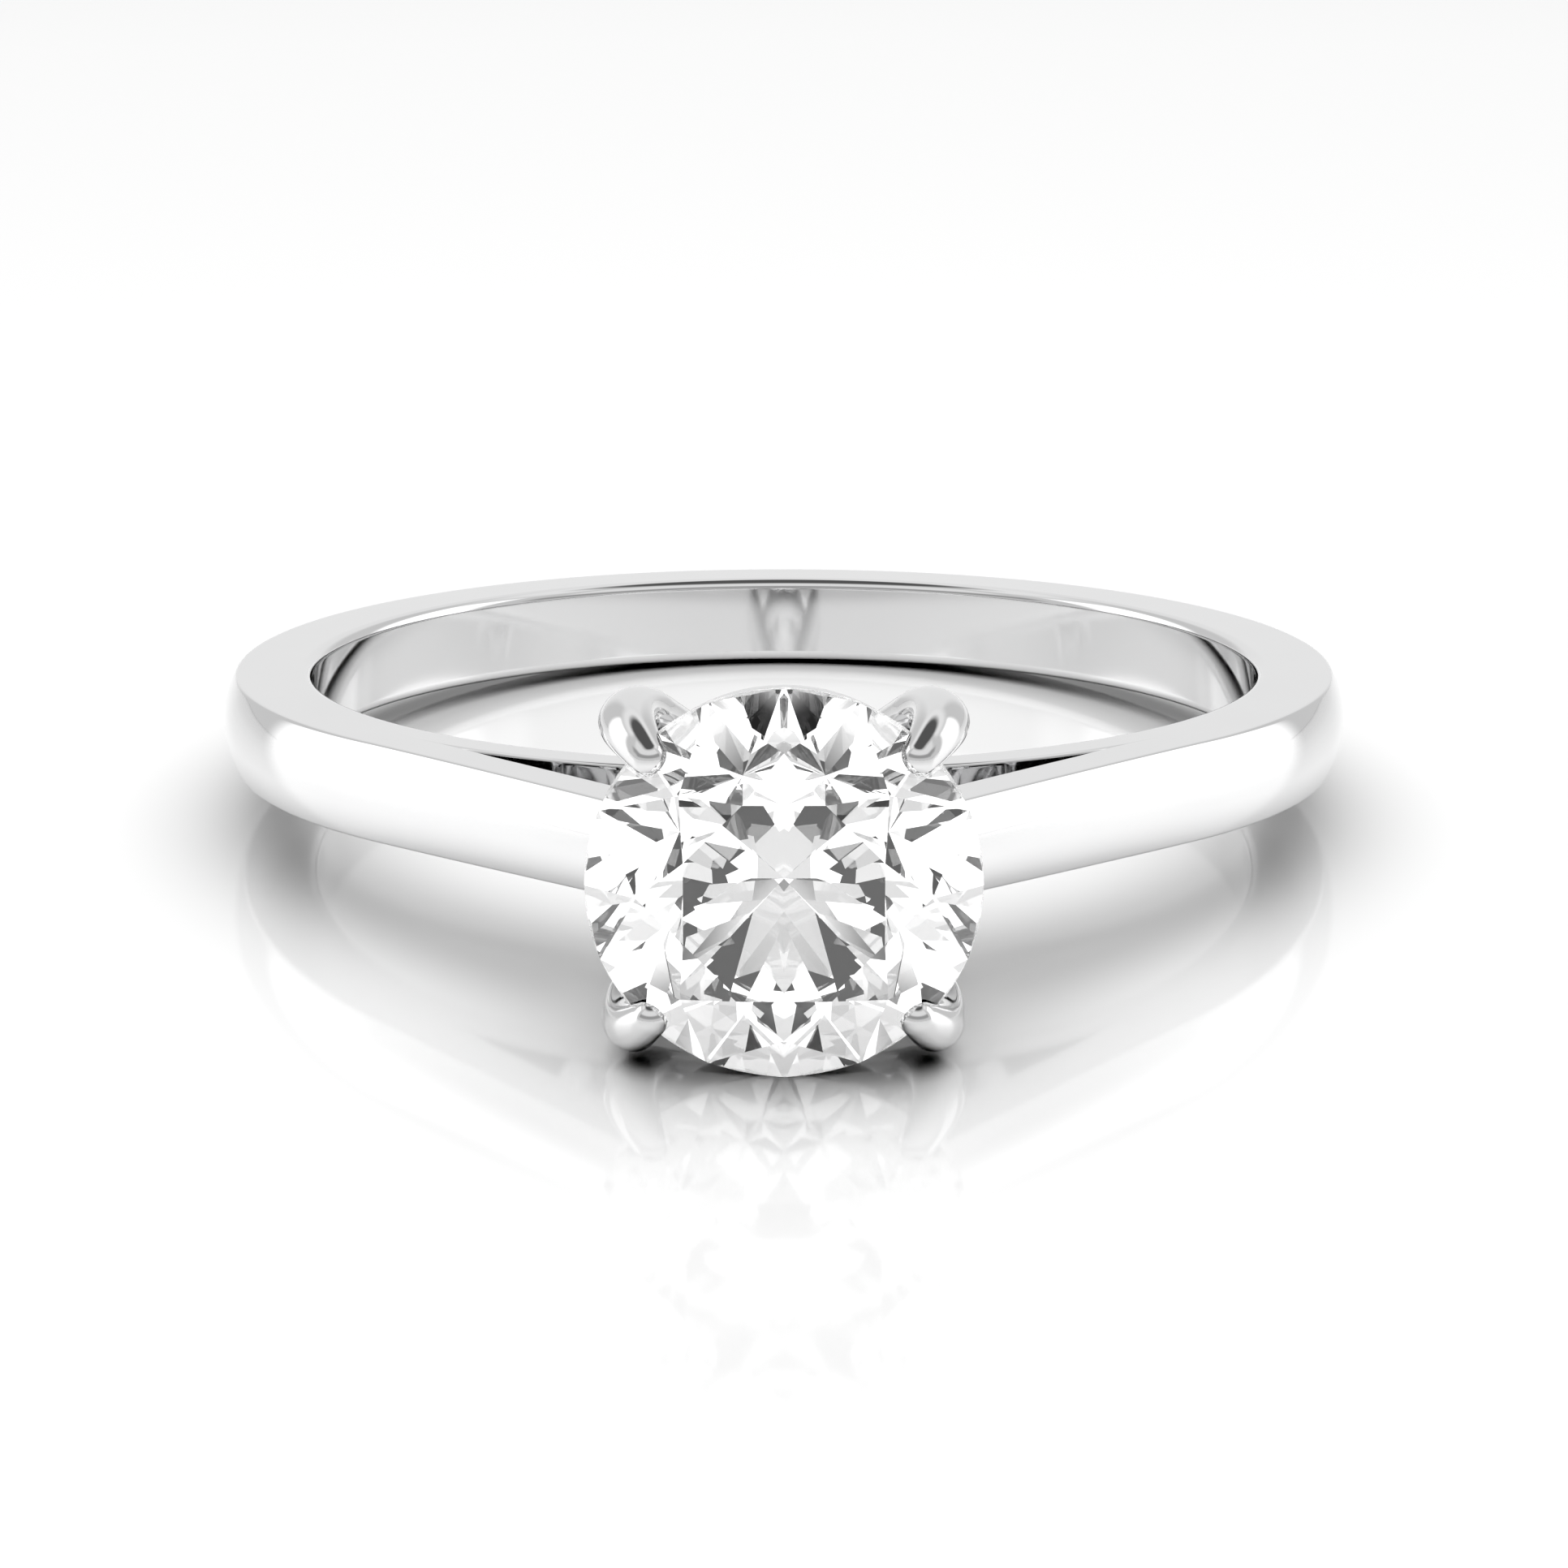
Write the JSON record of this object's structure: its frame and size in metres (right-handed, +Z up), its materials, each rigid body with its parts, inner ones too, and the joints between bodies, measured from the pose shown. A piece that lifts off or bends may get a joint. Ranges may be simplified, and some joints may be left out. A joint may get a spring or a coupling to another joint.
{
  "type": "engagement ring",
  "caption": "Solitaire engagement ring: a round brilliant held by claws over a gallery rail, on a domed band with cathedral shoulders.",
  "frame": {"origin": "centre of the bounding box's base, on the surface that the ring lies on", "axes": "+Z up from that surface, -Y towards the face of the stone, X across the finger hole; the ring lies tilted, on the back of its band and the rim of its stone, so its finger axis leans 5.3 degrees from +Z towards +Y"},
  "size_m": [0.0206, 0.025, 0.0061],
  "materials": {
    "white_gold": "mirror-polished, rhodium-plated white gold",
    "diamond": "clear, colourless, flat polished facets"
  },
  "bodies": {
    "root": {"shank": "white_gold", "shoulder_left": "white_gold", "shoulder_right": "white_gold", "gallery_rail": "white_gold", "claw_upper_left": "white_gold", "claw_upper_right": "white_gold", "claw_lower_left": "white_gold", "claw_lower_right": "white_gold", "centre_stone": "diamond"}
  },
  "joints": []
}
